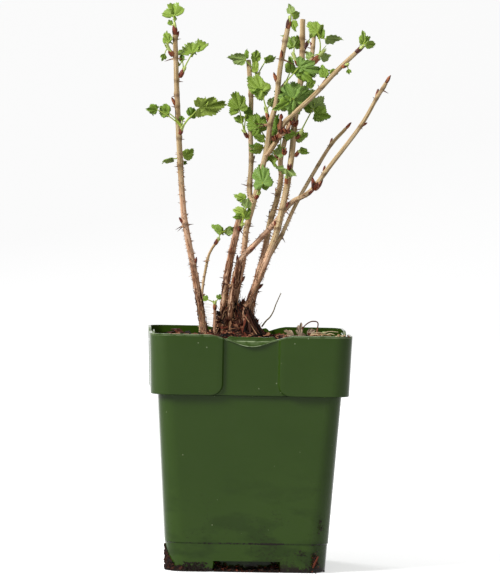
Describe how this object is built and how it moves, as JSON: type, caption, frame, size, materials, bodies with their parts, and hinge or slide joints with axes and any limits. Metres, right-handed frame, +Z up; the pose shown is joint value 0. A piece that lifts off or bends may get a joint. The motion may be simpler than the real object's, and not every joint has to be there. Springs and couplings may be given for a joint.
{
  "type": "young gooseberry bush in a square plastic nursery pot",
  "caption": "Young thorny gooseberry bush coming into leaf, with bare upright canes from one crown, in a square nursery pot with a stepped collar.",
  "frame": {"origin": "middle of the pot's flat underside", "axes": "+Z up along the canes, -Y towards the side of the pot that the picture shows, +X to its right"},
  "size_m": [0.1707, 0.1402, 0.3965],
  "materials": {
    "pot_plastic": "satin, scuffed and dusty",
    "bark": "matte",
    "foliage": "matte",
    "compost": "matte",
    "crown_wood": "matte"
  },
  "bodies": {
    "root": {"cane_back": "bark", "cane_far_right": "bark", "cane_front": "bark", "cane_left": "bark", "cane_left_thin": "bark", "cane_middle": "bark", "cane_middle_fork": "bark", "cane_middle_side": "bark", "cane_right_thin": "bark", "cane_stub": "bark", "compost": "compost", "crown": "crown_wood", "leaves_back_low": "foliage", "leaves_back_top": "foliage", "leaves_crown": "foliage", "leaves_fork_middle": "foliage", "leaves_fork_top": "foliage", "leaves_front_bud": "foliage", "leaves_front_high": "foliage", "leaves_front_low": "foliage", "leaves_front_right": "foliage", "leaves_front_side": "foliage", "leaves_front_upper": "foliage", "leaves_left_high": "foliage", "leaves_left_low": "foliage", "leaves_left_middle": "foliage", "leaves_left_thin": "foliage", "leaves_left_top": "foliage", "leaves_left_upper": "foliage", "leaves_middle_back": "foliage", "leaves_middle_high": "foliage", "leaves_middle_low": "foliage", "leaves_middle_tip": "foliage", "leaves_middle_upper": "foliage", "leaves_side_high": "foliage", "leaves_side_low": "foliage", "leaves_side_middle": "foliage", "leaves_side_tip": "foliage", "leaves_sprout": "foliage", "leaves_stub": "foliage", "pot": "pot_plastic", "sprout": "bark"}
  },
  "joints": []
}
